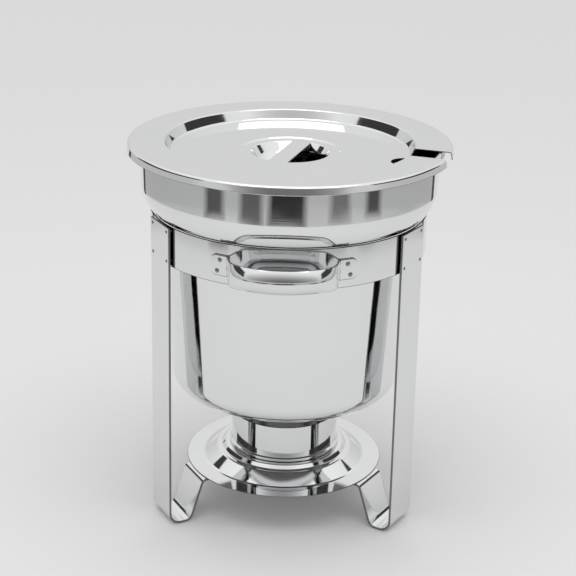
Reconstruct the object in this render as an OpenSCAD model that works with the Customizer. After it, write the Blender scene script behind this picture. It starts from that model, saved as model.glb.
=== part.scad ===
// Round soup kettle of polished stainless sheet: a three-legged stand with a fuel
// plate and fuel cup, a shouldered water pan hanging in the stand's ring, a food pan
// nested in the water pan, and a lid with a strap grip and a ladle notch.
// Origin: centre of the floor circle through the three feet. +Z is up and the front
// handle faces -Y.

/* [Sheet] */
// Thickness of the pressed sheet of lid, pans, fuel plate and fuel cup
sheet_t = 0.8; // [0.6:0.1:1.2]
// Thickness of the ring band
band_t = 1.2; // [0.8:0.1:1.6]
// Thickness of the leg strips
leg_t = 2; // [1.5:0.1:2.5]
// Thickness of the handle strips
handle_t = 1.5; // [1:0.1:2]

/* [Stand] */
// Outer radius of the ring band
ring_r = 124; // [123:0.5:125]
// Height of the ring band's top edge above the floor
ring_top = 287.4; // [285:0.1:288]
// Height of the ring band itself
ring_h = 36; // [32:1:42]
// Width of each leg strip
leg_w = 37; // [28:1:40]
// How far each leg splays outwards between ring and floor
leg_splay = 1.3; // [0:0.1:4]
// Radius, from the kettle's axis, where the foot turns up again
foot_inner_r = 105.5; // [100:0.5:110]
// How far each leg's tab reaches in, measured from the kettle's axis
tab_inner_r = 72; // [60:1:80]

/* [Fuel plate and cup] */
// Outer radius of the fuel plate
plate_r = 91.7; // [88:0.1:92]
// Height of the plate's flat rim above the floor
plate_z = 40.3; // [36:0.1:44]
// Rise of the plate's platform above its rim
platform_rise = 9.5; // [6:0.5:12]
// Radius of the platform's flat top
platform_r = 63; // [61:0.5:66]
// Rise of the small boss that the cup stands on
boss_rise = 3.7; // [2:0.1:5]
// Inside radius of the fuel cup at its mouth
cup_r = 48.6; // [45:0.1:50]
// Height of the fuel cup
cup_h = 34.4; // [28:0.2:38]

/* [Handles] */
// Height of the handle strip
handle_h = 20; // [16:1:24]
// Half the width of the grip's bow
bow_half = 44; // [40:0.5:47]
// Distance from the kettle's axis to the front of the bow
bow_reach = 152; // [146:1:160]

/* [Water pan] */
// Outer radius of the collar at the shoulder
collar_r = 131.2; // [130.5:0.1:131.6]
// Outer radius of the body just under the shoulder
body_top_r = 112; // [110:0.5:114]
// Outer radius of the body near the bottom
body_low_r = 105; // [102:0.5:108]
// Height of the pan's bottom above the floor
pan_bottom = 114; // [112:1:118]

/* [Food pan] */
// Outer radius of the food pan's body under its shoulder
food_top_r = 104; // [100:0.5:105]
// Outer radius of the food pan's body near the bottom
food_low_r = 97; // [94:0.5:99]
// Gap between the two pans' bottoms, filled by the water
water_gap = 16; // [10:1:24]
// Radius of the food pan's rolled rim bead
bead_r = 3.3; // [3:0.1:3.4]

/* [Lid] */
// Outer radius of the lid's flat flange
lid_r = 143.3; // [141:0.1:146]
// Depth of the lid's recessed panel
recess_depth = 9.5; // [6:0.5:12]
// Radius of the recess at the flange
recess_r = 110.6; // [106:0.2:114]
// Depth of the finger bowl under the strap grip
bowl_depth = 13; // [9:0.5:16]
// Radius of the finger bowl
bowl_r = 35.4; // [33:0.1:40]
// Width of the strap grip
strap_w = 17; // [12:0.5:20]
// Direction of the ladle notch, in degrees from +X towards -Y
notch_angle = 15.5; // [0:0.5:30]
// Width of the ladle notch
notch_w = 24; // [18:1:28]
// Radius, from the kettle's axis, of the centre of the notch's round end
notch_end_r = 104; // [98:1:106]

/* [Hidden] */
$fn = 180;

// Colours
polished = [0.80, 0.81, 0.83];
rivet_grey = [0.55, 0.56, 0.58];

// Gap left between pieces that only rest on each other
rest_gap = 0.3;
// Clearance of a piece's face in front of the ring
strip_gap = 0.1;

// Legs: angle of each, in degrees from +X
front_left = -150;
front_right = -30;
rear = 90;
leg_face = ring_r + strip_gap + leg_t;
leg_top = ring_top - 0.9;
tab_z = plate_z - sheet_t - leg_t;
riser_r = plate_r + 0.9;

kink_bend = 60;
foot_bend = 11;
toe_bend = 4.5;
tab_bend = 3;

// Rivets: shanks, heads and places. Each pair of sizes is for a leg and for a handle.
leg_shank_r = 1.1;
leg_head_r = 1.6;
handle_shank_r = 1.4;
handle_head_r = 2.1;
shank_play = 0.05;
head_h = 0.7;
leg_rivet_x = leg_w / 2 - 4;
leg_rivet_z = ring_h / 2 - 4.8;
ring_mid = ring_top - ring_h / 2;
handle_mid = ring_mid - 1.4;
handle_rivet_x = 1.3;
handle_rivet_z = 4.9;

// Handles: direction of each foot from the handle's middle, half its length, and bends
plate_angle = 25.6;
plate_half = 7.8;
heel_bend = 3;
bow_bend = 8;
bow_slope = 30;
bow_front_bend = 70;
bow_peak = bow_reach + bow_front_bend * (1 / cos(bow_slope) - 1);
bow_shoulder = bow_peak - bow_half * tan(bow_slope);

// Spot welds between the legs' tabs and the plate: a nugget fills a pocket in both
weld_r = 2.5;
weld_x = 9;
weld_place_r = 84;
weld_h = sheet_t * 1.6;

// Fuel plate: boss and the plan widths of the two sloping walls
boss_r = 55.5;
boss_wall = 3;
boss_bend = 1.6;
platform_wall = 12;

// Heights that follow from the ring, where the water pan's shoulder sits
shoulder_bend = 34;
shoulder_turn = 56;
shoulder_z = ring_top + rest_gap
           + sqrt(pow(shoulder_bend, 2) - pow(ring_r - band_t - collar_r + shoulder_bend, 2));
shoulder_corner = shoulder_z - shoulder_bend * tan(shoulder_turn / 2);
collar_h = 27.1;
rim_flare = 1.2;
hem_r = 1.4;
hem_z = shoulder_z + collar_h;
bead_z = hem_z + hem_r + rest_gap + bead_r;
bead_place_r = collar_r + rim_flare + 1.2;
flange_z = bead_z + bead_r + rest_gap + sheet_t;

// Pans: how far the food pan stands inside the water pan, and the bends at their bottoms
wall_gap = 1.7;
corner_gap = 2.2;
water_pan_bend = 20;
food_pan_bend = 18;

// Lid: levels, and plan widths of its sloping walls and of the ring round the finger bowl
panel_z = flange_z - recess_depth;
annulus_z = panel_z - 1.2;
bowl_z = annulus_z - bowl_depth;
recess_wall = 4.8;
annulus_w = 8.2;
annulus_wall = 1.2;
bowl_wall = 9.4;
bowl_bend = 15;
skirt_flare = 0.9;
skirt_h = 6.6;
skirt_bend = 2.6;

// Fuel cup
cup_z = plate_z + platform_rise + boss_rise + rest_gap;
cup_bead_r = 1.3;

// ---- Bent sheet: a path of corners, each with its own bend radius ----

function unit(v) = v / norm(v);
function right_of(v) = [v[1], -v[0]];
function flat(p) = [p[0], p[1]];
function short_turn(a) = a > 180 ? a - 360 : a < -180 ? a + 360 : a;

// Arc of radius r that rounds the corner b between a and c
function bend(a, b, c, r) =
    let (u = unit(a - b),
         v = unit(c - b),
         half = acos(u * v) / 2,
         centre = b + unit(u + v) * r / sin(half),
         from = b + u * r / tan(half) - centre,
         to = b + v * r / tan(half) - centre,
         start = atan2(from[1], from[0]),
         turn = short_turn(atan2(to[1], to[0]) - start),
         steps = max(2, ceil(abs(turn) / 7.5)))
    [for (i = [0:steps]) centre + r * [cos(start + turn * i / steps), sin(start + turn * i / steps)]];

// Path through corners [x, y, bend radius], where a radius of 0 leaves the corner sharp
function bent(corners) =
    [for (i = [0:len(corners) - 1])
        let (here = corners[i], last = len(corners) - 1)
        each (i == 0 || i == last || here[2] == 0)
            ? [flat(here)]
            : bend(flat(corners[i - 1]), flat(here), flat(corners[i + 1]), here[2])];

// The point that lies t to the right of the path at its vertex i
function inset(path, i, t) =
    let (last = len(path) - 1,
         a = right_of(unit(path[max(i, 1)] - path[max(i, 1) - 1])),
         b = right_of(unit(path[min(i, last - 1) + 1] - path[min(i, last - 1)])),
         m = unit(a + b))
    path[i] + m * t / (m * a);

// Sheet of thickness t on the right-hand side of the bent path
module sheet(corners, t) {
    path = bent(corners);
    polygon(concat(path, [for (i = [len(path) - 1:-1:0]) inset(path, i, t)]));
}

// A spun piece: the sheet's section turned about the kettle's axis
module spun(corners, t) rotate_extrude() sheet(corners, t);

// A rolled bead of radius bead, round the kettle's axis
module spun_bead(r, z, bead) rotate_extrude() translate([r, z]) circle(r = bead, $fn = 40);

// ---- Stand ----

// Round rod along +X
module radial_rod(r, from, to, x, z)
    translate([from, x, z]) rotate([0, 90, 0]) cylinder(r = r, h = to - from, $fn = 32);

// One rivet along +X: outer head on face, inner head behind the ring's inner wall
module rivet(face, x, z, shank_r, head_r) {
    back = sqrt(pow(ring_r - band_t, 2) - pow(abs(x) + head_r, 2)) - shank_play;
    radial_rod(shank_r, back - head_h / 2, face + head_h / 2, x, z);
    radial_rod(head_r, face, face + head_h, x, z);
    radial_rod(head_r, back - head_h, back, x, z);
}

module leg_rivet_places()
    for (x = [-leg_rivet_x, leg_rivet_x], z = [-leg_rivet_z, leg_rivet_z])
        translate([0, x, ring_mid + z]) children();

module handle_rivet_places()
    for (side = [-1, 1], up = [-1, 1])
        rotate([0, 0, side * plate_angle])
            translate([0, -side * up * handle_rivet_x, handle_mid + up * handle_rivet_z])
                children();

module shank_hole(shank_r)
    radial_rod(shank_r + shank_play, ring_r - ring_h / 4, ring_r + ring_h / 4, 0, 0);

module weld_places()
    for (x = [-weld_x, weld_x])
        translate([weld_place_r, x, plate_z - sheet_t]) children();

// Nugget that fills a shallow pocket in the tab and in the plate
module nugget() translate([0, 0, -sheet_t]) cylinder(r = weld_r, h = weld_h, $fn = 32);

module ring_band() color(polished) difference() {
    translate([0, 0, ring_top - ring_h]) cylinder(r = ring_r, h = ring_h);
    translate([0, 0, ring_top - ring_h - 1]) cylinder(r = ring_r - band_t, h = ring_h + 2);
    for (a = [front_left, front_right, rear])
        rotate([0, 0, a]) leg_rivet_places() shank_hole(leg_shank_r);
    for (a = [-90, 90])
        rotate([0, 0, a]) handle_rivet_places() shank_hole(handle_shank_r);
}

// Leg: straight strip, rounded foot, sloping riser and a tab under the fuel plate
module leg(angle) color(polished) rotate([0, 0, angle]) difference() {
    rotate([90, 0, 0]) linear_extrude(leg_w, center = true)
        sheet([[leg_face, leg_top, 0],
               [leg_face, ring_top - ring_h - leg_t * 3, kink_bend],
               [leg_face + leg_splay, 0, foot_bend],
               [foot_inner_r, 0, toe_bend],
               [riser_r, tab_z, tab_bend],
               [tab_inner_r, tab_z, 0]], leg_t);
    leg_rivet_places() shank_hole(leg_shank_r);
    weld_places() nugget();
}

module leg_rivets(angle) color(rivet_grey) rotate([0, 0, angle])
    for (x = [-leg_rivet_x, leg_rivet_x], z = [-leg_rivet_z, leg_rivet_z])
        rivet(leg_face, x, ring_mid + z, leg_shank_r, leg_head_r);

// Handle: strip bent in plan into two riveted feet and a bow, facing +X
module handle(angle) color(polished) rotate([0, 0, angle]) {
    face = ring_r + 2 * strip_gap + handle_t;
    foot = [face * sin(plate_angle), face * cos(plate_angle)];
    along = [cos(plate_angle), -sin(plate_angle)];
    tip = foot + along * plate_half;
    heel = foot - along * plate_half;
    difference() {
        translate([0, 0, handle_mid - handle_h / 2]) rotate([0, 0, -90])
            linear_extrude(handle_h)
                sheet([[-tip[0], tip[1], 0],
                       [-heel[0], heel[1], heel_bend],
                       [-bow_half, bow_shoulder, bow_bend],
                       [0, bow_peak, bow_front_bend],
                       [bow_half, bow_shoulder, bow_bend],
                       [heel[0], heel[1], heel_bend],
                       [tip[0], tip[1], 0]], handle_t);
        handle_rivet_places() shank_hole(handle_shank_r);
    }
}

module handle_rivets(angle) color(rivet_grey) rotate([0, 0, angle])
    handle_rivet_places()
        rivet(ring_r + 2 * strip_gap + handle_t, 0, 0, handle_shank_r, handle_head_r);

// Fuel plate: small boss on a platform, and a flat rim
module fuel_plate() color(polished) difference() {
    spun([[0, plate_z + platform_rise + boss_rise, 0],
          [boss_r, plate_z + platform_rise + boss_rise, boss_bend],
          [boss_r + boss_wall, plate_z + platform_rise, boss_bend],
          [platform_r, plate_z + platform_rise, 3],
          [platform_r + platform_wall, plate_z, 4],
          [plate_r, plate_z, 0]], sheet_t);
    for (a = [front_left, front_right, rear]) rotate([0, 0, a]) weld_places() nugget();
}

module plate_welds() color(rivet_grey)
    for (a = [front_left, front_right, rear]) rotate([0, 0, a]) weld_places() nugget();

// Fuel cup: straight-walled open cup with a rolled foot bead
module fuel_cup() color(polished) {
    spun([[cup_r + sheet_t, cup_z + cup_h, 0],
          [cup_r + sheet_t, cup_z, 1.2],
          [0, cup_z, 0]], sheet_t);
    spun_bead(cup_r + sheet_t + cup_bead_r / 2, cup_z + cup_bead_r, cup_bead_r);
}

// ---- Pans ----

// Bend under a shoulder, as wide as the slope between the two radii leaves room for
function neck_bend(outer_r, inner_r) =
    0.9 * ((outer_r - inner_r) / sin(shoulder_turn) / tan(shoulder_turn / 2) - shoulder_bend);

// Water pan: hemmed rim, collar, shoulder that hangs in the ring, tapered body
module water_pan() color(polished) {
    spun([[collar_r + rim_flare, hem_z, 0],
          [collar_r, shoulder_corner, shoulder_bend],
          [body_top_r, shoulder_corner - (collar_r - body_top_r) / tan(shoulder_turn),
           neck_bend(collar_r, body_top_r)],
          [body_low_r, pan_bottom, water_pan_bend],
          [0, pan_bottom, 0]], sheet_t);
    spun_bead(collar_r + rim_flare + sheet_t, hem_z, hem_r);
}

// Food pan: rolled bead that rests on the water pan's rim, collar, shoulder and body
module food_pan() color(polished) {
    wall_r = collar_r - wall_gap;
    corner_z = shoulder_corner + corner_gap;
    spun([[collar_r - 0.3, bead_z, 0],
          [wall_r, corner_z, shoulder_bend],
          [food_top_r, corner_z - (wall_r - food_top_r) / tan(shoulder_turn),
           neck_bend(wall_r, food_top_r)],
          [food_low_r, pan_bottom + water_gap, food_pan_bend],
          [0, pan_bottom + water_gap, 0]], sheet_t);
    spun_bead(bead_place_r, bead_z, bead_r);
}

// ---- Lid ----

// Level bar across the finger bowl, w wide, no longer than the disc of radius r
module strap_bar(w, r, z, h) intersection() {
    translate([-w / 2, -r, z]) cube([w, 2 * r, h]);
    translate([0, 0, z]) cylinder(r = r, h = h);
}

// Slot with a round inner end, through the panel, flange and skirt
module ladle_notch() {
    translate([notch_end_r, -notch_w / 2, bowl_z]) cube([lid_r, notch_w, lid_r]);
    translate([notch_end_r, 0, bowl_z]) cylinder(r = notch_w / 2, h = lid_r, $fn = 64);
}

// Lid: flange, skirt and recessed panel of one sheet. Its two finger bowls are pressed
// down on either side of a strap that stays level.
module lid_cover() color(polished) rotate([0, 0, -notch_angle]) difference() {
    union() {
        difference() {
            spun([[0, bowl_z, 0],
                  [bowl_r - bowl_wall, bowl_z, bowl_bend],
                  [bowl_r, annulus_z, 1.5],
                  [bowl_r + annulus_w, annulus_z, 0.8],
                  [bowl_r + annulus_w + annulus_wall, panel_z, 0.8],
                  [recess_r - recess_wall, panel_z, 3],
                  [recess_r, flange_z, 1.8],
                  [lid_r, flange_z, skirt_bend],
                  [lid_r + skirt_flare, flange_z - skirt_h, 0]], sheet_t);
            strap_bar(strap_w, bowl_r + sheet_t * 0.8, bowl_z - sheet_t - 1, bowl_depth * 2);
        }
        strap_bar(strap_w, bowl_r + sheet_t, annulus_z - sheet_t, sheet_t);
    }
    ladle_notch();
}

ring_band();
leg(front_left);  // leg_front_left
leg(front_right);  // leg_front_right
leg(rear);  // leg_rear
leg_rivets(front_left);  // leg_front_left_rivets
leg_rivets(front_right);  // leg_front_right_rivets
leg_rivets(rear);  // leg_rear_rivets
handle(-90);  // handle_front
handle(90);  // handle_rear
handle_rivets(-90);  // handle_front_rivets
handle_rivets(90);  // handle_rear_rivets
fuel_plate();
plate_welds();
fuel_cup();
water_pan();
food_pan();
lid_cover();
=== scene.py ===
"""Looks of the soup kettle: polished stainless sheet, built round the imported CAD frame.

Every piece is a closed mesh made from a section or a path. Lengths below are in
millimetres and are turned into metres when a mesh is made. Sizes that the frame knows
are read from it, and the others are the pressing details that its boxes don't show.
"""
import math

import bpy
import numpy as np
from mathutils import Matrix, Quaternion, Vector


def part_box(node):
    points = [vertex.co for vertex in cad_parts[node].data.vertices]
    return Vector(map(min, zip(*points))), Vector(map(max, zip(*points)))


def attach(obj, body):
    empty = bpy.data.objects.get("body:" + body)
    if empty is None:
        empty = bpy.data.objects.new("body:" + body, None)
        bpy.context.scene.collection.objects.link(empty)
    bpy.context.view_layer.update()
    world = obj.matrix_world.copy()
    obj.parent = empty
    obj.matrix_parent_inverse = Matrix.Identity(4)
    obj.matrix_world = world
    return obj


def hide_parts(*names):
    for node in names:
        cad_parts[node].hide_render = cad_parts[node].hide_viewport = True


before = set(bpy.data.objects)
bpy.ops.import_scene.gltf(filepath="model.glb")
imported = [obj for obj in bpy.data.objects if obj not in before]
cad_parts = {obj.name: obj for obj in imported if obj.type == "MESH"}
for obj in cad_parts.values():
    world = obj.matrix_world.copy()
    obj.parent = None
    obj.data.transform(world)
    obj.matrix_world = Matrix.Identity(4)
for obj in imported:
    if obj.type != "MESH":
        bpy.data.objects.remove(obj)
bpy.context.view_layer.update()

MM = 0.001
SEGMENTS = 192


def corners_of(node):
    """Lowest and highest corner of a CAD node, in millimetres."""
    low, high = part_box(node)
    return np.array(low) / MM, np.array(high) / MM


# ---- Sizes read from the frame ----
ring_low, ring_high = corners_of("ring_band")
plate_low, plate_high = corners_of("fuel_plate")
cup_low, cup_high = corners_of("fuel_cup")
water_low, water_high = corners_of("water_pan")
food_low, food_high = corners_of("food_pan")
lid_high = corners_of("lid_cover")[1]
leg_low, leg_high = corners_of("leg_rear")
handle_low, handle_high = corners_of("handle_front")

# ---- Sheet thicknesses, gaps and places round the kettle ----
SHEET = 0.8
BAND = 1.2
LEG = 2.0
STRIP = 1.5
STRIP_GAP = 0.1
REST_GAP = 0.3
LEG_ANGLES = {"leg_front_left": -150, "leg_front_right": -30, "leg_rear": 90}
HANDLE_ANGLES = {"handle_front": 180, "handle_rear": 0}

# ---- Legs ----
KINK_BEND = 60.0
FOOT_BEND = 11.0
TOE_BEND = 9.0
TAB_BEND = 3.0
FOOT_INNER = 105.5
RISER_GAP = 0.9

# ---- Handles ----
PLATE_ANGLE = 25.6
PLATE_HALF = 7.8
PLATE_CORNER = 5.0
PLATE_TRIM = 1.5
HEEL_RUN = 8.0
HEEL_BEND = 3.0
BOW_HALF = 44.0
BOW_BEND = 15.0
BOW_SLOPE = 30.0
BOW_FRONT_BEND = 70.0
BOW_CROWN = 4.2
BOW_STEP = 1.2
CROWN_START = 28.0
CROWN_RUN = 28.0

# ---- Rivets ----
LEG_RIVET = {"shank": 1.1, "head": 1.6, "x": 14.5, "z": 13.2}
HANDLE_RIVET = {"shank": 1.4, "head": 2.1, "x": 1.3, "z": 4.9}
HEAD_H = 0.7
SHANK_PLAY = 0.05
RIVET_SEGMENTS = 32

# ---- Fuel plate and cup ----
BOSS_RISE = 3.7
BOSS_R = 55.5
BOSS_WALL = 3.0
BOSS_BEND = 1.6
PLATFORM_R = 63.0
PLATFORM_WALL = 12.0
PLATFORM_TOP_BEND = 3.0
PLATFORM_FOOT_BEND = 4.0
CUP_BEAD = 1.3
CUP_WALL_BEND = 0.6
CUP_BEAD_TOP_BEND = 1.0
CUP_BEAD_FOOT_BEND = 1.25

# ---- Pans ----
COLLAR_R = 131.2
BODY_TOP_R = 112.0
BODY_LOW_R = 105.0
FOOD_TOP_R = 104.0
FOOD_LOW_R = 97.0
SHOULDER_BEND = 34.0
SHOULDER_TURN = 56.0
NECK_SHARE = 0.9
WATER_PAN_BEND = 20.0
FOOD_PAN_BEND = 18.0
RIM_FLARE = 1.2
RIM_INSET = 0.3
WALL_GAP = 1.7
CORNER_GAP = 2.2
HEM = 1.4
BEAD = 3.3
CURL_TURN = 250.0

# ---- Lid ----
RECESS_DEPTH = 9.5
RECESS_R = 110.6
RECESS_WALL = 4.8
RECESS_FOOT_BEND = 3.0
RECESS_TOP_BEND = 1.8
ANNULUS_STEP = 1.2
ANNULUS_W = 8.2
ANNULUS_BEND = 0.8
BOWL_DEPTH = 13.0
BOWL_R = 35.4
BOWL_WALL = 9.4
BOWL_BEND = 15.0
BOWL_RIM_BEND = 1.5
RIM_ROW = 36.5
STRAP_HALF = 8.5
NOTCH_ANGLE = -15.5
NOTCH_HALF = 12.0
NOTCH_END = 104.0
SKIRT_FLARE = 0.9
SKIRT_H = 6.6
SKIRT_BEND = 2.6

# A point nearer to the axis than this, in millimetres, lies on it
ON_AXIS = 1e-6
# Two normals that follow each other on a sheared edge have a smaller dot product than this
EDGE_COSINE = 0.75


# ---- Paths and sections in the plane: points with their exact left-hand normals ----

def unit(v):
    """The vector made one long."""
    return v / np.linalg.norm(v)


def left_of(v):
    """The vector turned a quarter to its left."""
    return np.array([-v[1], v[0]])


def arc(centre, radius, start, turn, step=5.0):
    """Points of an arc and the normals on the left of its direction, angles in degrees."""
    count = max(2, math.ceil(abs(turn) / step))
    angles = np.radians(start + turn * np.arange(count + 1) / count)
    spokes = np.column_stack([np.cos(angles), np.sin(angles)])
    return np.asarray(centre) + radius * spokes, -math.copysign(1, turn) * spokes


def bend(a, b, c, radius):
    """Arc that rounds the corner b between a and c."""
    u, v = unit(a - b), unit(c - b)
    half = math.acos(np.clip(u @ v, -1, 1)) / 2
    centre = b + unit(u + v) * radius / math.sin(half)
    first = b + u * radius / math.tan(half) - centre
    last = b + v * radius / math.tan(half) - centre
    start = math.degrees(math.atan2(first[1], first[0]))
    turn = math.degrees(math.atan2(last[1], last[0])) - start
    return arc(centre, radius, start, (turn + 180) % 360 - 180)


def bent(corners):
    """Smooth path through corners (x, y, bend radius); its two ends have no radius."""
    places = [np.array(c[:2], float) for c in corners]
    points, normals = [], []
    for i, here in enumerate(places):
        if i in (0, len(places) - 1):
            along = places[1] - here if i == 0 else here - places[-2]
            points.append([here])
            normals.append([left_of(unit(along))])
        else:
            p, n = bend(places[i - 1], here, places[i + 1], corners[i][2])
            points.append(p)
            normals.append(n)
    return np.vstack(points), np.vstack(normals)


def joined(*paths):
    """One path from several that follow each other smoothly."""
    return np.vstack([p for p, _ in paths]), np.vstack([n for _, n in paths])


def sheet(path, thickness):
    """Closed section of a sheet that lies on the right of the path, with rounded edges.
    An end on the axis gets no edge: the spun piece closes there."""
    points, normals = path
    other = points - normals * thickness
    parts = [(points, normals)]
    if points[-1, 0] > ON_AXIS:
        parts.append(edge(points[-1], normals[-1], thickness))
    parts.append((other[::-1], -normals[::-1]))
    if points[0, 0] > ON_AXIS:
        parts.append(edge(other[0], -normals[0], thickness))
    return joined(*parts)


def edge(point, normal, thickness):
    """Half-round edge of a sheet, from its left face to its right face."""
    start = math.degrees(math.atan2(normal[1], normal[0]))
    p, n = arc(point - normal * thickness / 2, thickness / 2, start, -180, 45)
    return p[1:-1], n[1:-1]


def curled(path, radius, turn):
    """The path with its first end rolled over to its left, into a curl of that inner radius."""
    points, normals = path
    end = math.degrees(math.atan2(-normals[0, 1], -normals[0, 0]))
    p, n = arc(points[0] + normals[0] * radius, radius, end - turn, turn, 12)
    return joined((p[:-1], n[:-1]), path)


def edge_steps(normals):
    """Steps of a closed section that run round a sheared edge, where its normals turn fast."""
    turns = np.sum(normals * np.roll(normals, -1, axis=0), axis=1)
    return set(np.flatnonzero(turns < EDGE_COSINE).tolist())


# ---- Meshes ----

class Shell:
    """A closed mesh in the making. A corner is a vertex with one exact normal, so that a
    vertex on a sharp edge has a corner for each side."""

    def __init__(self):
        self.vertices, self.corners, self.normals = [], [], []
        self.faces, self.face_normals, self.cuts = [], [], []

    def add(self, points, normals, at=None):
        """Adds corners and gives their numbers. With at, they share those corners' vertices."""
        first = len(self.corners)
        if at is None:
            self.corners.extend(range(len(self.vertices), len(self.vertices) + len(points)))
            self.vertices.extend(np.asarray(points, float))
        else:
            self.corners.extend(self.corners[c] for c in at)
        self.normals.extend(np.asarray(normals, float))
        return list(range(first, len(self.corners)))

    def faces_out(self, face, normal=None):
        """True if the face is wound so that it faces its normals."""
        p = [self.vertices[self.corners[c]] for c in face]
        area = sum(np.cross(p[i] - p[0], p[i + 1] - p[0]) for i in range(1, len(p) - 1))
        return area @ (sum(self.normals[c] for c in face) if normal is None else normal) >= 0

    def face(self, face, normal=None, flip=None, cut=False):
        """Adds a face, without repeated vertices, facing its corners' normals or the given one.
        A cut face is part of a sheared edge."""
        face = [c for i, c in enumerate(face) if self.corners[c] != self.corners[face[i - 1]]]
        if len({self.corners[c] for c in face}) < 3:
            return
        if flip if flip is not None else not self.faces_out(face, normal):
            face.reverse()
        self.faces.append([self.corners[c] for c in face])
        self.cuts.append(int(cut))
        self.face_normals.extend(self.normals[c] if normal is None else normal for c in face)

    def strip(self, row, next_row, normal=None, cuts=()):
        """Faces between two rows of the same length. cuts holds those on a sheared edge."""
        quads = [[row[i], row[i + 1], next_row[i + 1], next_row[i]] for i in range(len(row) - 1)]
        flip = not self.faces_out(quads[len(quads) // 3], normal)
        for i, quad in enumerate(quads):
            self.face(quad, normal, flip, i in cuts)

    def made(self, name):
        """The Blender object, with a face's cut mark as its material index."""
        mesh = bpy.data.meshes.new(name)
        mesh.from_pydata((np.array(self.vertices) * MM).tolist(), [], self.faces)
        mesh.polygons.foreach_set("use_smooth", [True] * len(self.faces))
        mesh.polygons.foreach_set("material_index", self.cuts)
        mesh.normals_split_custom_set(np.array(self.face_normals).tolist())
        piece = bpy.data.objects.new(name, mesh)
        bpy.context.scene.collection.objects.link(piece)
        return piece


def turned(points, degrees):
    """Points or normals turned about the kettle's axis."""
    a = math.radians(degrees)
    p = np.asarray(points, float)
    x = p[..., 0] * math.cos(a) - p[..., 1] * math.sin(a)
    y = p[..., 0] * math.sin(a) + p[..., 1] * math.cos(a)
    return np.stack([x, y, p[..., 2]], axis=-1)


def facing(place, normals):
    """Normals turned by place, which may shift points too."""
    return place(np.asarray(normals, float)) - place(np.zeros((1, 3)))


def ring_of(values, height, angles):
    """Points or normals (radius, height) at each angle round the axis."""
    return np.column_stack([values * np.cos(angles), values * np.sin(angles),
                            np.full(len(angles), height)])


def spin(shell, section, closed, segments=SEGMENTS, place=lambda p: p):
    """Spins a section of (radius, height). An open one starts and ends on the axis. A point
    that is repeated with another normal is a sharp edge."""
    angles = 2 * math.pi * np.arange(segments) / segments
    rows, last = [], None
    for point, normal in zip(*section):
        if point[0] < ON_AXIS:
            pole = shell.add(place(np.array([[0, 0, point[1]]])),
                             facing(place, [[0, 0, normal[1]]]))
            rows.append(pole * (segments + 1))
        else:
            same = last is not None and np.allclose(point, last)
            at = rows[-1][:-1] if same else None
            out = facing(place, ring_of(normal[0], normal[1], angles))
            row = shell.add(place(ring_of(point[0], point[1], angles)), out, at)
            rows.append(row + row[:1])
        last = point
    everywhere = range(segments)
    cut_steps = edge_steps(section[1])
    for i, (row, next_row) in enumerate(zip(rows, rows[1:] + (rows[:1] if closed else []))):
        shell.strip(row, next_row, cuts=everywhere if i in cut_steps else ())


def spun(name, section, closed=False):
    """Spun piece of sheet metal. A closed section doesn't reach the axis."""
    shell = Shell()
    spin(shell, section, closed)
    return shell.made(name)


def sweep(shell, path, sections, place):
    """Sweeps closed sections (across, out) along a path. out is measured to the path's left,
    and place turns (x, y, across) in the path's plane into the row frame."""
    points, normals = path
    along = np.column_stack([normals[:, 1], -normals[:, 0]])
    length = np.concatenate([[0], np.cumsum(np.linalg.norm(np.diff(points, axis=0), axis=1))])
    outlines = np.array([s[0] for s in sections])
    outwards = np.array([s[1] for s in sections])
    drift = np.gradient(outlines, length, axis=0)
    lean = -np.sum(outwards * drift, axis=2)
    rows = []
    for i, (p, n) in enumerate(zip(points, normals)):
        spot = p + outlines[i][:, 1:] * n
        out = outwards[i][:, 1:] * n + lean[i][:, None] * along[i]
        out = np.column_stack([out, outwards[i][:, 0]])
        out /= np.linalg.norm(out, axis=1)[:, None]
        row = shell.add(place(np.column_stack([spot, outlines[i][:, 0]])), facing(place, out))
        rows.append(row + row[:1])
    cuts = edge_steps(outwards[0])
    for row, next_row in zip(rows, rows[1:]):
        shell.strip(row, next_row, cuts=cuts)
    for row, i, sign in ((rows[0], 0, -1), (rows[-1], -1, 1)):
        shell.face(row[:-1], facing(place, [[*(along[i] * sign), 0]])[0], cut=True)


def strip_section(half, thickness, crown=0.0, steps=12):
    """Section of a strip: across from -half to half, bulging out by crown in its middle."""
    across = np.linspace(-half, half, steps + 1)
    slope = -2 * crown * across / half ** 2
    points = np.column_stack([across, crown * (1 - (across / half) ** 2)])
    normals = np.column_stack([-slope, np.ones_like(slope)])
    normals /= np.linalg.norm(normals, axis=1)[:, None]
    other = points - normals * thickness
    return joined((points, normals), edge(points[-1], normals[-1], thickness),
                  (other[::-1], -normals[::-1]), edge(other[0], -normals[0], thickness))


# ---- Stand ----

def band_section():
    """Rolled band of the ring, standing on its edge, with rounded edges."""
    return sheet(bent([(ring_high[0], ring_high[2] - BAND / 2, 0),
                       (ring_high[0], ring_low[2] + BAND / 2, 0)]), BAND)


def leg_path():
    """Outer face of a leg from its top to the end of its tab, as (radius, height)."""
    face = ring_high[0] + STRIP_GAP + LEG
    tab_z = plate_low[2] - LEG
    kink_z = ring_low[2] - 3 * LEG
    splay_r = leg_high[1]
    return bent([(face, leg_high[2], 0), (face, kink_z, KINK_BEND), (splay_r, 0, FOOT_BEND),
                 (FOOT_INNER, 0, TOE_BEND), (plate_high[0] + RISER_GAP, tab_z, TAB_BEND),
                 (leg_low[1], tab_z, 0)])


def leg(name, angle):
    """Leg strip with rounded edges, standing at its angle round the kettle."""
    shell = Shell()
    path = leg_path()
    section = strip_section(leg_high[0], LEG, steps=4)
    sweep(shell, path, [section] * len(path[0]),
          lambda p: turned(np.column_stack([p[:, 0], p[:, 2], p[:, 1]]), angle))
    return shell.made(name)


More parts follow.
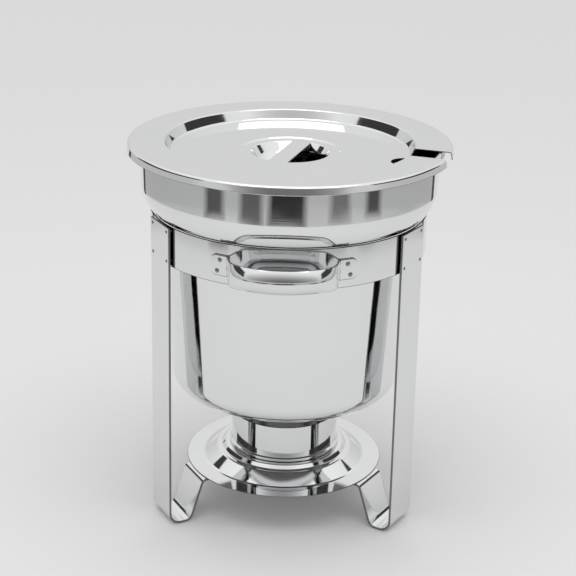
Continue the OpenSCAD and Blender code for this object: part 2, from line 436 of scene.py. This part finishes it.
def handle_path():
    """Outer face of a handle in plan, as (along the front, distance from the kettle's axis)."""
    face = ring_high[0] + 2 * STRIP_GAP + STRIP
    a = math.radians(PLATE_ANGLE)
    foot = face * np.array([math.sin(a), math.cos(a)])
    along = np.array([math.cos(a), -math.sin(a)])
    tip, heel = foot + along * PLATE_HALF, foot - along * PLATE_HALF
    slope = math.radians(BOW_SLOPE)
    peak = -handle_low[1] + BOW_FRONT_BEND * (1 / math.cos(slope) - 1)
    shoulder = peak - BOW_HALF * math.tan(slope)
    half = [(BOW_HALF, shoulder, BOW_BEND), (heel[0], heel[1], HEEL_BEND), (tip[0], tip[1], 0)]
    mirrored = [(-x, y, r) for x, y, r in reversed(half)]
    return refined(bent(mirrored + [(0, peak, BOW_FRONT_BEND)] + half), BOW_STEP)


def refined(path, step):
    """The path with its straight stretches cut into steps no longer than step."""
    points, normals = path
    new_points, new_normals = [points[:1]], [normals[:1]]
    for i in range(1, len(points)):
        count = max(1, math.ceil(np.linalg.norm(points[i] - points[i - 1]) / step))
        share = np.arange(1, count + 1)[:, None] / count
        new_points.append(points[i - 1] + share * (points[i] - points[i - 1]))
        mixed = normals[i - 1] + share * (normals[i] - normals[i - 1])
        new_normals.append(mixed / np.linalg.norm(mixed, axis=1)[:, None])
    return np.vstack(new_points), np.vstack(new_normals)


def eased(x):
    """Smooth rise from 0 to 1 as x goes from 0 to 1."""
    x = np.clip(x, 0, 1)
    return x * x * (3 - 2 * x)


def handle(name, angle):
    """Handle strip: two flat feet with round corners and a bow with a crowned grip."""
    path = handle_path()
    steps = np.linalg.norm(np.diff(path[0], axis=0), axis=1)
    length = np.concatenate([[0], np.cumsum(steps)])
    from_end = np.minimum(length, length[-1] - length)
    half = (handle_high[2] - handle_low[2]) / 2
    inside = np.clip(PLATE_CORNER - from_end, 0, PLATE_CORNER)
    plates = half - PLATE_TRIM * (1 - eased((from_end - 2 * PLATE_HALF) / HEEL_RUN))
    halves = plates - PLATE_CORNER + np.sqrt(PLATE_CORNER ** 2 - inside ** 2)
    crowns = BOW_CROWN * eased((from_end - CROWN_START) / CROWN_RUN)
    sections = [strip_section(h, STRIP, c) for h, c in zip(halves, crowns)]
    middle = (handle_high[2] + handle_low[2]) / 2
    shell = Shell()
    sweep(shell, path, sections, lambda p: turned(p, angle) + np.array([0, 0, middle]))
    return shell.made(name)


def rivet_section(shank, head, face, back):
    """Section of a rivet round its own axis: domed heads on both sides of the sheets."""
    dome_r = (head ** 2 + HEAD_H ** 2) / (2 * HEAD_H)
    half = math.degrees(math.asin(head / dome_r))
    outer = arc((0, face + HEAD_H - dome_r), dome_r, 90, -half, 12)
    inner = arc((0, back - HEAD_H + dome_r), dome_r, half - 90, -half, 12)
    down = np.array([0.0, -1.0])
    corners = [([head, face], down), ([shank, face], down), ([shank, face], [1, 0]),
               ([shank, back], [1, 0]), ([shank, back], -down), ([head, back], -down)]
    between = (np.array([c[0] for c in corners], float), np.array([c[1] for c in corners], float))
    return joined(outer, between, inner)


def rivets(name, places, size, face):
    """One group of rivets. places are (angle round the kettle, sideways, height)."""
    shell = Shell()
    for angle, x, z in places:
        back = math.sqrt((ring_high[0] - BAND) ** 2 - (abs(x) + size["head"]) ** 2) - SHANK_PLAY

        def place(p, angle=angle, x=x, z=z):
            return turned(np.column_stack([p[:, 2], p[:, 0] + x, p[:, 1] + z]), angle)

        section = rivet_section(size["shank"], size["head"], face, back)
        spin(shell, section, False, RIVET_SEGMENTS, place)
    return shell.made(name)


def leg_rivets(name, angle):
    """The four rivets that hold a leg to the ring."""
    middle = (ring_low[2] + ring_high[2]) / 2
    places = [(angle, side * LEG_RIVET["x"], middle + up * LEG_RIVET["z"])
              for side in (-1, 1) for up in (-1, 1)]
    return rivets(name, places, LEG_RIVET, ring_high[0] + STRIP_GAP + LEG)


def handle_rivets(name, angle):
    """The four rivets that hold a handle's two feet to the ring."""
    middle = (handle_low[2] + handle_high[2]) / 2
    places = [(angle + 90 + side * PLATE_ANGLE, -side * up * HANDLE_RIVET["x"],
               middle + up * HANDLE_RIVET["z"]) for side in (-1, 1) for up in (-1, 1)]
    return rivets(name, places, HANDLE_RIVET, ring_high[0] + 2 * STRIP_GAP + STRIP)


# ---- Fuel plate and cup ----

def fuel_plate_section():
    """Boss, platform and flat rim, from the axis outwards."""
    top, rim = plate_high[2], plate_low[2] + SHEET
    platform = top - BOSS_RISE
    outer = plate_high[0] - SHEET / 2
    return sheet(bent([(0, top, 0), (BOSS_R, top, BOSS_BEND),
                       (BOSS_R + BOSS_WALL, platform, BOSS_BEND),
                       (PLATFORM_R, platform, PLATFORM_TOP_BEND),
                       (PLATFORM_R + PLATFORM_WALL, rim, PLATFORM_FOOT_BEND),
                       (outer, rim, 0)]), SHEET)


def fuel_cup_section():
    """Straight cup wall with a rolled foot bead, from its mouth to the axis."""
    wall, bottom = cup_high[0] - CUP_BEAD * 1.5, cup_low[2]
    bead = cup_high[0]
    return sheet(bent([(wall, cup_high[2] - SHEET / 2, 0),
                       (wall, bottom + 3 * CUP_BEAD, CUP_WALL_BEND),
                       (bead, bottom + 2 * CUP_BEAD, CUP_BEAD_TOP_BEND),
                       (bead, bottom, CUP_BEAD_FOOT_BEND), (0, bottom, 0)]), SHEET)


# ---- Pans ----

def neck_bend(outer, inner):
    """Bend under a shoulder, as wide as the slope between the two radii leaves room for."""
    turn = math.radians(SHOULDER_TURN)
    room = (outer - inner) / math.sin(turn) / math.tan(turn / 2) - SHOULDER_BEND
    return NECK_SHARE * room


def pan_section(rim_r, rim_z, collar_r, corner_z, body_r, low_r, bottom, bottom_bend, curl):
    """Pan from its curled rim, down the collar and shoulder, to the axis."""
    drop = (collar_r - body_r) / math.tan(math.radians(SHOULDER_TURN))
    wall = bent([(rim_r, rim_z, 0), (collar_r, corner_z, SHOULDER_BEND),
                 (body_r, corner_z - drop, neck_bend(collar_r, body_r)),
                 (low_r, bottom, bottom_bend), (0, bottom, 0)])
    return sheet(curled(wall, curl - SHEET, CURL_TURN), SHEET)


def shoulder_corner():
    """Height where the water pan's collar and its shoulder's slope would meet, which follows
    from the ring that the shoulder hangs in."""
    inset = ring_high[0] - BAND - COLLAR_R + SHOULDER_BEND
    seat = ring_high[2] + REST_GAP + math.sqrt(SHOULDER_BEND ** 2 - inset ** 2)
    return seat - SHOULDER_BEND * math.tan(math.radians(SHOULDER_TURN / 2))


def water_pan_section():
    """Water pan, with a hemmed rim."""
    return pan_section(COLLAR_R + RIM_FLARE, water_high[2] - HEM, COLLAR_R, shoulder_corner(),
                       BODY_TOP_R, BODY_LOW_R, water_low[2], WATER_PAN_BEND, HEM)


def food_pan_section():
    """Food pan, with a rolled bead that rests on the water pan's rim."""
    return pan_section(COLLAR_R - RIM_INSET, food_high[2] - BEAD, COLLAR_R - WALL_GAP,
                       shoulder_corner() + CORNER_GAP, FOOD_TOP_R, FOOD_LOW_R, food_low[2],
                       FOOD_PAN_BEND, BEAD)


# ---- Lid ----

def slot_angle(radius):
    """Angle from the notch's centre line to its edge at a radius, 0 inside its round end."""
    if radius <= NOTCH_END - NOTCH_HALF:
        return 0.0
    touch = math.sqrt(NOTCH_END ** 2 + NOTCH_HALF ** 2)
    if radius < touch:
        cosine = (radius ** 2 + NOTCH_END ** 2 - NOTCH_HALF ** 2) / (2 * radius * NOTCH_END)
        return math.acos(min(1.0, cosine))
    return math.asin(NOTCH_HALF / radius)


def with_rows(path, radii):
    """The path with extra points at those radii, which lie on its flat stretches."""
    points, normals = path
    for r in radii:
        i = int(np.searchsorted(points[:, 0], r))
        share = (r - points[i - 1, 0]) / (points[i, 0] - points[i - 1, 0])
        points = np.insert(points, i, points[i - 1] + share * (points[i] - points[i - 1]), axis=0)
        normals = np.insert(normals, i, normals[i - 1], axis=0)
    return points, normals


LID_PANEL = lid_high[2] - RECESS_DEPTH
LID_RING = LID_PANEL - ANNULUS_STEP
LID_BOWL = LID_RING - BOWL_DEPTH
STRAP_EDGE = math.degrees(math.acos(STRAP_HALF / RIM_ROW))
# The row round the finger bowls in five spans, as (start, end, steps). The right-hand bowl
# takes the first and the last, the strap's ends the second and fourth, the left bowl the third.
SPANS = [(0, STRAP_EDGE, 40), (STRAP_EDGE, 180 - STRAP_EDGE, 12),
         (180 - STRAP_EDGE, 180 + STRAP_EDGE, 80), (180 + STRAP_EDGE, 360 - STRAP_EDGE, 12),
         (360 - STRAP_EDGE, 360, 40)]
LID_ANGLES = np.radians(np.concatenate(
    [np.linspace(start, end, steps + 1)[:-1] for start, end, steps in SPANS] + [[360]]))
MARKS = np.cumsum([0] + [steps for _, _, steps in SPANS])
# Extra rows: radii on the panel, distances from the strap in a bowl, and across the strap
PANEL_ROWS = (60, 75)
BOWL_ROWS = (0.3, 1.0, 2.5)
STRAP_ROWS = 9


def in_lid(points):
    """Points or normals turned so that +X runs through the ladle notch."""
    return turned(points, NOTCH_ANGLE)


def lid_ring_row(shell, point, normal, angles):
    """Row of corners round the lid at one point of a section."""
    return shell.add(in_lid(ring_of(point[0], point[1], angles)),
                     in_lid(ring_of(normal[0], normal[1], angles)))


def cover_section():
    """The lid outside its finger bowls: level ring, panel, recess wall, flange and skirt."""
    top = lid_high[2]
    skirt_r = lid_high[0] - SHEET / 4
    section = bent([(RIM_ROW, LID_RING, 0), (BOWL_R + ANNULUS_W, LID_RING, ANNULUS_BEND),
                    (BOWL_R + ANNULUS_W + ANNULUS_STEP, LID_PANEL, ANNULUS_BEND),
                    (RECESS_R - RECESS_WALL, LID_PANEL, RECESS_FOOT_BEND),
                    (RECESS_R, top, RECESS_TOP_BEND),
                    (skirt_r - SKIRT_FLARE, top, SKIRT_BEND), (skirt_r, top - SKIRT_H, 0)])
    round_end = [NOTCH_END - NOTCH_HALF * math.cos(math.radians(b)) for b in range(0, 91, 10)]
    return with_rows(section, [*PANEL_ROWS, *round_end])


def bowl_section():
    """A finger bowl, from the strap's edge up to the level ring."""
    section = bent([(STRAP_HALF, LID_BOWL, 0), (BOWL_R - BOWL_WALL, LID_BOWL, BOWL_BEND),
                    (BOWL_R, LID_RING, BOWL_RIM_BEND), (RIM_ROW, LID_RING, 0)])
    return with_rows(section, [STRAP_HALF + row for row in BOWL_ROWS])


def lower_face(section):
    """The other face of a lid section's sheet."""
    return section[0] - section[1] * SHEET, -section[1]


def cover_row(shell, point, normal):
    """Row round the cover, left open across the ladle notch where the notch reaches it."""
    slot = slot_angle(point[0])
    angles = slot + (2 * math.pi - 2 * slot) * LID_ANGLES / (2 * math.pi)
    if slot > 0:
        return lid_ring_row(shell, point, normal, angles)
    row = lid_ring_row(shell, point, normal, angles[:-1])
    return row + row[:1]


def shear(shell, upper, lower, end, wall, steps=None):
    """Sheared edge between the upper and lower rows of a sheet, at one end of the rows."""
    for i in range(len(upper) - 1) if steps is None else steps:
        shell.face([upper[i][end], upper[i + 1][end], lower[i + 1][end], lower[i][end]], wall,
                   cut=True)


def cover(shell):
    """Makes the cover's sheet and gives the rows round the finger bowls on its two faces."""
    section = cover_section()
    hem = edge(section[0][-1], section[1][-1], SHEET)
    upper = [cover_row(shell, *pair) for pair in zip(*section)]
    hem_rows = [cover_row(shell, *pair) for pair in zip(*hem)]
    lower = [cover_row(shell, *pair) for pair in zip(*lower_face(section))]
    loop = upper + hem_rows + lower[::-1]
    hem_steps = range(len(upper) - 1, len(upper) + len(hem_rows))
    for i, (row, next_row) in enumerate(zip(loop, loop[1:])):
        shell.strip(row, next_row, cuts=range(len(row)) if i in hem_steps else ())
    notched = [i for i in range(len(upper) - 1) if slot_angle(section[0][i + 1][0]) > 0]
    for end, side in ((0, 1), (-1, -1)):
        wall = in_lid(np.array([[0, -side, 0]]))[0]
        shear(shell, upper, lower, end, wall, notched)
        shell.face([upper[-1][end], *(row[end] for row in hem_rows), lower[-1][end]], wall,
                   cut=True)
    return upper[0], lower[0]


def bowl_face(shell, section, rim, columns, middle):
    """One face of a finger bowl, out to the rim's corners in those columns."""
    rows = []
    for point, normal in zip(section[0][:-1], section[1][:-1]):
        reach = math.acos(min(1.0, STRAP_HALF / point[0]))
        angles = reach * np.linspace(-1, 1, len(columns)) + middle
        if reach < ON_AXIS:
            rows.append(lid_ring_row(shell, point, normal, angles[:1]) * len(columns))
        else:
            rows.append(lid_ring_row(shell, point, normal, angles))
    rows.append([rim[c] for c in columns])
    for row, next_row in zip(rows, rows[1:]):
        shell.strip(row, next_row)
    return rows


def finger_bowls(shell, upper_rim, lower_rim):
    """The bowls on the right and left of the strap, sheared along it."""
    right = [*range(MARKS[4], MARKS[5]), *range(MARKS[0], MARKS[1] + 1)]
    left = [*range(MARKS[2], MARKS[3] + 1)]
    section = bowl_section()
    for side, middle, columns in ((1, 0, right), (-1, math.pi, left)):
        upper = bowl_face(shell, section, upper_rim, columns, middle)
        lower = bowl_face(shell, lower_face(section), lower_rim, columns, middle)
        wall = in_lid(np.array([[-side, 0, 0]]))[0]
        for end in (0, -1):
            shear(shell, upper, lower, end, wall)


def strap_face(shell, rim, height, up):
    """One face of the strap, from the rim's corners on one side to those on the other."""
    near = list(range(MARKS[1], MARKS[2] + 1))
    far = list(range(MARKS[3], MARKS[4] + 1))[::-1]
    x = RIM_ROW * np.cos(LID_ANGLES[near])
    y = RIM_ROW * np.sin(LID_ANGLES[near])
    rows = [[rim[c] for c in near]]
    for share in np.linspace(1, -1, STRAP_ROWS)[1:-1]:
        row = np.column_stack([x, y * share, np.full(len(x), height)])
        rows.append(shell.add(in_lid(row), np.tile([0, 0, up], (len(x), 1))))
    rows.append([rim[c] for c in far])
    for row, next_row in zip(rows, rows[1:]):
        shell.strip(row, next_row)
    return rows


def strap(shell, upper_rim, lower_rim):
    """The level strap between the finger bowls, with a sheared edge along each."""
    upper = strap_face(shell, upper_rim, LID_RING, 1)
    lower = strap_face(shell, lower_rim, LID_RING - SHEET, -1)
    for end, side in ((0, 1), (-1, -1)):
        shear(shell, upper, lower, end, in_lid(np.array([[side, 0, 0]]))[0])


def lid_cover(name):
    """Lid of one sheet: cover with its ladle notch, two finger bowls and a strap."""
    shell = Shell()
    rims = cover(shell)
    finger_bowls(shell, *rims)
    strap(shell, *rims)
    return shell.made(name)


# ---- Materials ----
GRAIN_SCALE = 900.0
SMUDGE_SCALE = 22.0
SWELL_SCALE = 24.0
GRAIN_DRIFT = 0.02
GRAIN_DEPTH = 0.0001
GRAIN_IN_BLUR = 0.35
# Colour of the water pan's outer bottom: painted shade under the pan, much darker than the
# polished steel
UNDERSIDE_SHADE_TONE = (0.20, 0.20, 0.205)
UNDERSIDE_BLUR = 0.4
UNDERSIDE_SHADE_EDGE = 0.0003


def node(tree, kind, **values):
    """A shader node with its settings and unlinked inputs."""
    made = tree.nodes.new(kind)
    for key, value in values.items():
        if key in made.inputs:
            made.inputs[key].default_value = value
        else:
            setattr(made, key, value)
    return made


def ranged(tree, value, start, end, to_start, to_end, **values):
    """The value with the range from start to end mapped on another range."""
    made = node(tree, "ShaderNodeMapRange", **values)
    made.inputs["From Min"].default_value = start
    made.inputs["From Max"].default_value = end
    made.inputs["To Min"].default_value = to_start
    made.inputs["To Max"].default_value = to_end
    tree.links.new(value, made.inputs["Value"])
    return made.outputs["Result"]


def worked_out(tree, operation, value, number, more=None):
    """The value and a number put together by a Math node."""
    made = node(tree, "ShaderNodeMath", operation=operation)
    made.inputs[1].default_value = number
    tree.links.new(value, made.inputs[0])
    if more is not None:
        tree.links.new(more, made.inputs[2])
    return made.outputs[0]


def noise(tree, place, scale, detail, roughness=0.5):
    """Noise texture at a place."""
    made = node(tree, "ShaderNodeTexNoise", Scale=scale, Detail=detail, Roughness=roughness)
    tree.links.new(place, made.inputs["Vector"])
    return made.outputs["Fac"]


def two_tones(tree, share, colour, darkening):
    """The colour, darkened by that factor where share is 0."""
    made = node(tree, "ShaderNodeMix", data_type="RGBA")
    made.inputs["A"].default_value = (*[c * darkening for c in colour], 1)
    made.inputs["B"].default_value = (*colour, 1)
    tree.links.new(share, made.inputs["Factor"])
    return made.outputs["Result"]


def apart(tree, vector):
    """The X, Y and Z of a vector."""
    parts = node(tree, "ShaderNodeSeparateXYZ")
    tree.links.new(vector, parts.inputs[0])
    return parts.outputs


def round_the_axis(tree, place):
    """Place of (radius, slow drift, height), whose grain runs round the axis."""
    parts = apart(tree, place)
    flat = node(tree, "ShaderNodeCombineXYZ")
    tree.links.new(parts["X"], flat.inputs["X"])
    tree.links.new(parts["Y"], flat.inputs["Y"])
    radius = node(tree, "ShaderNodeVectorMath", operation="LENGTH")
    tree.links.new(flat.outputs[0], radius.inputs[0])
    rings = node(tree, "ShaderNodeCombineXYZ")
    tree.links.new(radius.outputs["Value"], rings.inputs["X"])
    tree.links.new(worked_out(tree, "MULTIPLY", parts["X"], GRAIN_DRIFT), rings.inputs["Y"])
    tree.links.new(parts["Z"], rings.inputs["Z"])
    return rings.outputs[0]


def stretched(tree, place, stretch):
    """Place scaled along X, Y and Z."""
    scale = node(tree, "ShaderNodeMapping")
    scale.inputs["Scale"].default_value = stretch
    tree.links.new(place, scale.inputs["Vector"])
    return scale.outputs[0]


def shaded_underside(tree, place, colour, blur, top):
    """Colour and blur of steel below the height top, in metres: painted shade darkens the colour
    there, and the blur is raised.
    """
    underside_shade_mask = ranged(tree, apart(tree, place)["Z"], top - UNDERSIDE_SHADE_EDGE, top + UNDERSIDE_SHADE_EDGE,
                  1.0, 0.0)
    darker = node(tree, "ShaderNodeMix", data_type="RGBA")
    darker.inputs["B"].default_value = (*UNDERSIDE_SHADE_TONE, 1)
    tree.links.new(underside_shade_mask, darker.inputs["Factor"])
    tree.links.new(colour, darker.inputs["A"])
    return darker.outputs["Result"], worked_out(tree, "MULTIPLY_ADD", underside_shade_mask, UNDERSIDE_BLUR, blur)


def steel(name, colour, roughness, stretch, grain, wave=0.0, shade_below=None):
    """Polished stainless steel. stretch scales the grain along X, Y and Z; a spun piece's
    grain runs round the axis. grain is how strongly it shows, and wave the depth, in metres,
    of the slight unevenness that pressing leaves. Below the height shade_below, in metres, the
    colour is darkened with painted shade and the steel is rougher."""
    material = bpy.data.materials.new(name)
    material.use_nodes = True
    tree = material.node_tree
    shader = tree.nodes["Principled BSDF"]
    shader.inputs["Metallic"].default_value = 1.0
    link = tree.links.new
    place = node(tree, "ShaderNodeTexCoord").outputs["Object"]
    along = round_the_axis(tree, place) if stretch == "spun" else stretched(tree, place, stretch)
    lines = noise(tree, along, GRAIN_SCALE, 3.0, 0.6)
    smudges = noise(tree, place, SMUDGE_SCALE, 4.0, 0.55)
    tone = two_tones(tree, smudges, colour, 0.965)
    mixed = worked_out(tree, "MULTIPLY_ADD", lines, GRAIN_IN_BLUR, smudges)
    centred = worked_out(tree, "SUBTRACT", mixed, GRAIN_IN_BLUR / 2)
    blur = ranged(tree, centred, 0.3, 0.7, roughness * 0.75, roughness * 1.3)
    if shade_below is not None:
        tone, blur = shaded_underside(tree, place, tone, blur, shade_below)
    link(tone, shader.inputs["Base Color"])
    link(blur, shader.inputs["Roughness"])
    bump = node(tree, "ShaderNodeBump", Strength=grain, Distance=GRAIN_DEPTH)
    link(lines, bump.inputs["Height"])
    link(bump.outputs["Normal"], shader.inputs["Normal"])
    if wave > 0:
        uneven = node(tree, "ShaderNodeBump", Strength=1.0, Distance=wave)
        link(noise(tree, place, SWELL_SCALE, 1.0, 0.4), uneven.inputs["Height"])
        link(uneven.outputs["Normal"], bump.inputs["Normal"])
    return material


LONG_GRAIN = (1.0, 1.0, 0.02)
materials = {
    "stand_steel": steel("stand_steel", (0.80, 0.805, 0.81), 0.09, LONG_GRAIN, 0.05),
    "rivet_steel": steel("rivet_steel", (0.27, 0.27, 0.28), 0.30, "spun", 0.08),
    "plate_steel": steel("plate_steel", (0.82, 0.825, 0.83), 0.055, "spun", 0.04, 0.0004),
    "cup_steel": steel("cup_steel", (0.80, 0.805, 0.81), 0.055, "spun", 0.04, 0.0002),
    # Below the height given last, the pan's outer bottom is darkened with painted shade and made
    # rougher
    "pan_steel": steel("pan_steel", (0.82, 0.825, 0.83), 0.055, "spun", 0.04, 0.0003,
                       (water_low[2] + SHEET / 2) * MM),
    "food_pan_steel": steel("food_pan_steel", (0.76, 0.765, 0.77), 0.20, "spun", 0.08),
    "lid_steel": steel("lid_steel", (0.82, 0.825, 0.83), 0.065, "spun", 0.04),
}
cut_edge = steel("cut_edge", (0.22, 0.22, 0.225), 0.40, (1.0, 1.0, 1.0), 0.1)
# Near-black edges of the ring band: partly the sheared edge's own dull colour, partly painted
# shade of the gap between the ring and the pan
ring_edge_gap_shade = steel("ring_edge_gap_shade", (0.04, 0.04, 0.042), 0.50, (1.0, 1.0, 1.0), 0.1)


def dress(piece, nodes, body, slot, edges=cut_edge):
    """Gives a piece its materials, its body and the CAD nodes that it stands for."""
    piece.data.materials.append(materials[slot])
    piece.data.materials.append(edges)
    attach(piece, body)
    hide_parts(*nodes)


# The ring's edges take the near-black material that carries the painted gap shade
dress(spun("ring", band_section(), True), ["ring_band"], "stand", "stand_steel", ring_edge_gap_shade)
for leg_name, leg_angle in LEG_ANGLES.items():
    dress(leg(leg_name + "_strip", leg_angle), [leg_name], "stand", "stand_steel")
    dress(leg_rivets(leg_name + "_rivet_heads", leg_angle), [leg_name + "_rivets"], "stand",
          "rivet_steel")
for handle_name, handle_angle in HANDLE_ANGLES.items():
    dress(handle(handle_name + "_bow", handle_angle), [handle_name], "stand", "stand_steel")
    dress(handle_rivets(handle_name + "_rivet_heads", handle_angle), [handle_name + "_rivets"],
          "stand", "rivet_steel")
dress(spun("burner_plate", fuel_plate_section()), ["fuel_plate"], "stand", "plate_steel")
dress(spun("fuel_holder", fuel_cup_section()), ["fuel_cup"], "fuel_cup", "cup_steel")
dress(spun("outer_pan", water_pan_section()), ["water_pan"], "water_pan", "pan_steel")
dress(spun("inset_pan", food_pan_section()), ["food_pan"], "food_pan", "food_pan_steel")
dress(lid_cover("lid"), ["lid_cover"], "lid", "lid_steel")
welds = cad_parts["plate_welds"]
welds.data.materials.clear()
welds.data.materials.append(materials["rivet_steel"])


# ---- Floor, light and camera ----
SECTOR_STEP = 5.0


def matte(name, colour):
    """Plain pale surface with a faint unevenness."""
    material = bpy.data.materials.new(name)
    material.use_nodes = True
    tree = material.node_tree
    shader = tree.nodes["Principled BSDF"]
    shader.inputs["Roughness"].default_value = 0.7
    shader.inputs["Specular IOR Level"].default_value = 0.15
    mottle = node(tree, "ShaderNodeTexNoise", Scale=3.0, Detail=3.0)
    tone = two_tones(tree, mottle.outputs["Fac"], colour, 0.98)
    tree.links.new(tone, shader.inputs["Base Color"])
    return material


def panel(name, centre, width, height, towards, material):
    """Rectangular stage panel that faces a point. Sizes in metres."""
    corners = [(-width / 2, -height / 2, 0), (width / 2, -height / 2, 0),
               (width / 2, height / 2, 0), (-width / 2, height / 2, 0)]
    mesh = bpy.data.meshes.new(name)
    mesh.from_pydata(corners, [], [(0, 1, 2, 3)])
    mesh.materials.append(material)
    made = bpy.data.objects.new(name, mesh)
    bpy.context.scene.collection.objects.link(made)
    made.location = centre
    made.rotation_mode = "QUATERNION"
    made.rotation_quaternion = (Vector(towards) - Vector(centre)).to_track_quat("Z", "Y")
    return made


def only_reflected(card):
    """Keeps a card out of the picture and its shadow off the floor."""
    card.visible_camera = card.visible_shadow = False
    card.visible_diffuse = card.visible_transmission = False


def sector(name, start, end, near, far, height, grey):
    """Level part of a ring, between two angles from the front and two radii in metres. It
    shows only in reflections."""
    count = max(2, math.ceil((end - start) / SECTOR_STEP))
    angles = np.radians(np.linspace(start, end, count))
    rows = [[(r * math.sin(a), -r * math.cos(a), height) for a in angles] for r in (near, far)]
    faces = [(i, i + count, i + count + 1, i + 1) for i in range(count - 1)]
    mesh = bpy.data.meshes.new(name)
    mesh.from_pydata(rows[0] + rows[1], [], faces)
    mesh.materials.append(matte(name, (grey, grey, grey)))
    made = bpy.data.objects.new(name, mesh)
    bpy.context.scene.collection.objects.link(made)
    only_reflected(made)


def softbox(name, centre, width, height, towards, power):
    """Rectangular area light that faces a point."""
    data = bpy.data.lights.new(name, "AREA")
    data.shape = "RECTANGLE"
    data.size, data.size_y, data.energy = width, height, power
    made = bpy.data.objects.new(name, data)
    bpy.context.scene.collection.objects.link(made)
    made.location = centre
    made.rotation_mode = "QUATERNION"
    made.rotation_quaternion = (Vector(centre) - Vector(towards)).to_track_quat("Z", "Y")


def sky():
    """Studio surroundings: pale all round and above, darker behind the camera."""
    world = bpy.data.worlds.new("studio")
    bpy.context.scene.world = world
    world.use_nodes = True
    tree = world.node_tree
    parts = apart(tree, node(tree, "ShaderNodeTexCoord").outputs["Generated"])
    rise = ranged(tree, parts["Z"], -0.05, 0.9, 0.66, 1.0, interpolation_type="SMOOTHSTEP")
    front = ranged(tree, parts["Y"], -0.98, -0.55, 0.27, 1.0)
    both = node(tree, "ShaderNodeMath", operation="MULTIPLY")
    tree.links.new(rise, both.inputs[0])
    tree.links.new(front, both.inputs[1])
    background = tree.nodes["Background"]
    background.inputs["Color"].default_value = (1.0, 1.0, 1.0, 1)
    tree.links.new(both.outputs[0], background.inputs["Strength"])


FLOOR_SIZE = 12.0
FLOOR_GREY = (0.80, 0.80, 0.80)
SOFTBOX_PLACE = (0, -0.42, 1.5)
SOFTBOX_FOOT = (0, -0.42, 0)
SOFTBOX_WIDTH = 1.3
SOFTBOX_DEPTH = 0.8
SOFTBOX_POWER = 4.6

panel("floor", (0, 0, 0), FLOOR_SIZE, FLOOR_SIZE, (0, 0, 1), matte("pale_floor", FLOOR_GREY))
sky()
softbox("top_softbox", SOFTBOX_PLACE, SOFTBOX_WIDTH, SOFTBOX_DEPTH, SOFTBOX_FOOT, SOFTBOX_POWER)

# The room around the pale sweep, seen only as reflections in the steel: a grey floor beyond
# the sweep, darker things standing in front, and a dark wall on each side. Each floor row is
# a name, two angles in degrees from the front, two radii in metres and a grey.
SWEEP_EDGE = 0.88
ROOM_END = 5.0
ROOM_FLOOR = [("pale_rim", -138, 138, SWEEP_EDGE, 0.92, 0.66),
              ("grey_rim", -138, 138, 0.92, 0.96, 0.56),
              ("grey_floor", -138, 138, 0.96, 1.6, 0.48),
              ("grey_far_floor", -138, 138, 1.6, ROOM_END, 0.62),
              ("sweep_edge_left", -144, -138, SWEEP_EDGE, ROOM_END, 0.05),
              ("sweep_edge_right", 138, 144, SWEEP_EDGE, ROOM_END, 0.05)]
DARK_THINGS = [("dark_far_left", -60, -46, 0.91, 1.5, 0.08),
               ("dark_left", -33, -17, 0.90, 1.5, 0.10),
               ("dark_middle", -12, 13, 0.90, 1.6, 0.012),
               ("dark_right", 31, 45, 0.91, 1.5, 0.16),
               ("dark_far_right", 58, 70, 0.91, 1.5, 0.06)]
# The edges of the dark things are out of focus: bands that grow darker towards the middle
SOFT_BANDS = 4
SOFT_TURN = 1.3
SOFT_REACH = 0.008
SOFT_GREY = 0.5
CARD_BASE = 0.002
CARD_STEP = 0.0005
DARK_WALL = {"aside": 2.0, "back": 0.10, "up": 1.02, "width": 2.6, "height": 1.2}


def soft_bands(name, start, end, near, far, grey):
    """Rows for a dark thing on the room's floor, from its palest band to its darkest."""
    for i in range(SOFT_BANDS):
        out = SOFT_BANDS / 2 - i - 0.5
        shade = grey + (SOFT_GREY - grey) * (1 - (i + 1) / SOFT_BANDS)
        yield (f"{name}_{i}", start - SOFT_TURN * out, end + SOFT_TURN * out,
               near - SOFT_REACH * out, far, shade)


rows = ROOM_FLOOR + [band for thing in DARK_THINGS for band in soft_bands(*thing)]
for i, (card_name, start, end, near, far, grey) in enumerate(rows):
    sector(card_name, start, end, near, far, CARD_BASE + CARD_STEP * i, grey)
for side, side_name in ((-1, "left"), (1, "right")):
    wall = panel("dark_wall_" + side_name,
                 (side * DARK_WALL["aside"], DARK_WALL["back"], DARK_WALL["up"]),
                 DARK_WALL["width"], DARK_WALL["height"], (0, DARK_WALL["back"], DARK_WALL["up"]),
                 matte("dark_wall_" + side_name, (0.05, 0.05, 0.052)))
    only_reflected(wall)

CAMERA_DISTANCE = 1.352
CAMERA_PITCH = math.radians(20.92)
CAMERA_TURN = math.radians(1.6)
CAMERA_ROLL = math.radians(1.25)
FOCAL_LENGTH = 92.2
SENSOR_WIDTH = 36.0
AIM = Vector((0.0008, 0, 0.20625))

camera_data = bpy.data.cameras.new("camera")
camera_data.lens = FOCAL_LENGTH
camera_data.sensor_width = SENSOR_WIDTH
camera = bpy.data.objects.new("camera", camera_data)
bpy.context.scene.collection.objects.link(camera)
back = Vector((math.sin(CAMERA_TURN) * math.cos(CAMERA_PITCH),
               -math.cos(CAMERA_TURN) * math.cos(CAMERA_PITCH), math.sin(CAMERA_PITCH)))
camera.location = AIM + back * CAMERA_DISTANCE
camera.rotation_mode = "QUATERNION"
camera.rotation_quaternion = (-back).to_track_quat("-Z", "Y") @ Quaternion((0, 0, 1), CAMERA_ROLL)
bpy.context.scene.camera = camera
bpy.context.scene.view_settings.view_transform = "Standard"
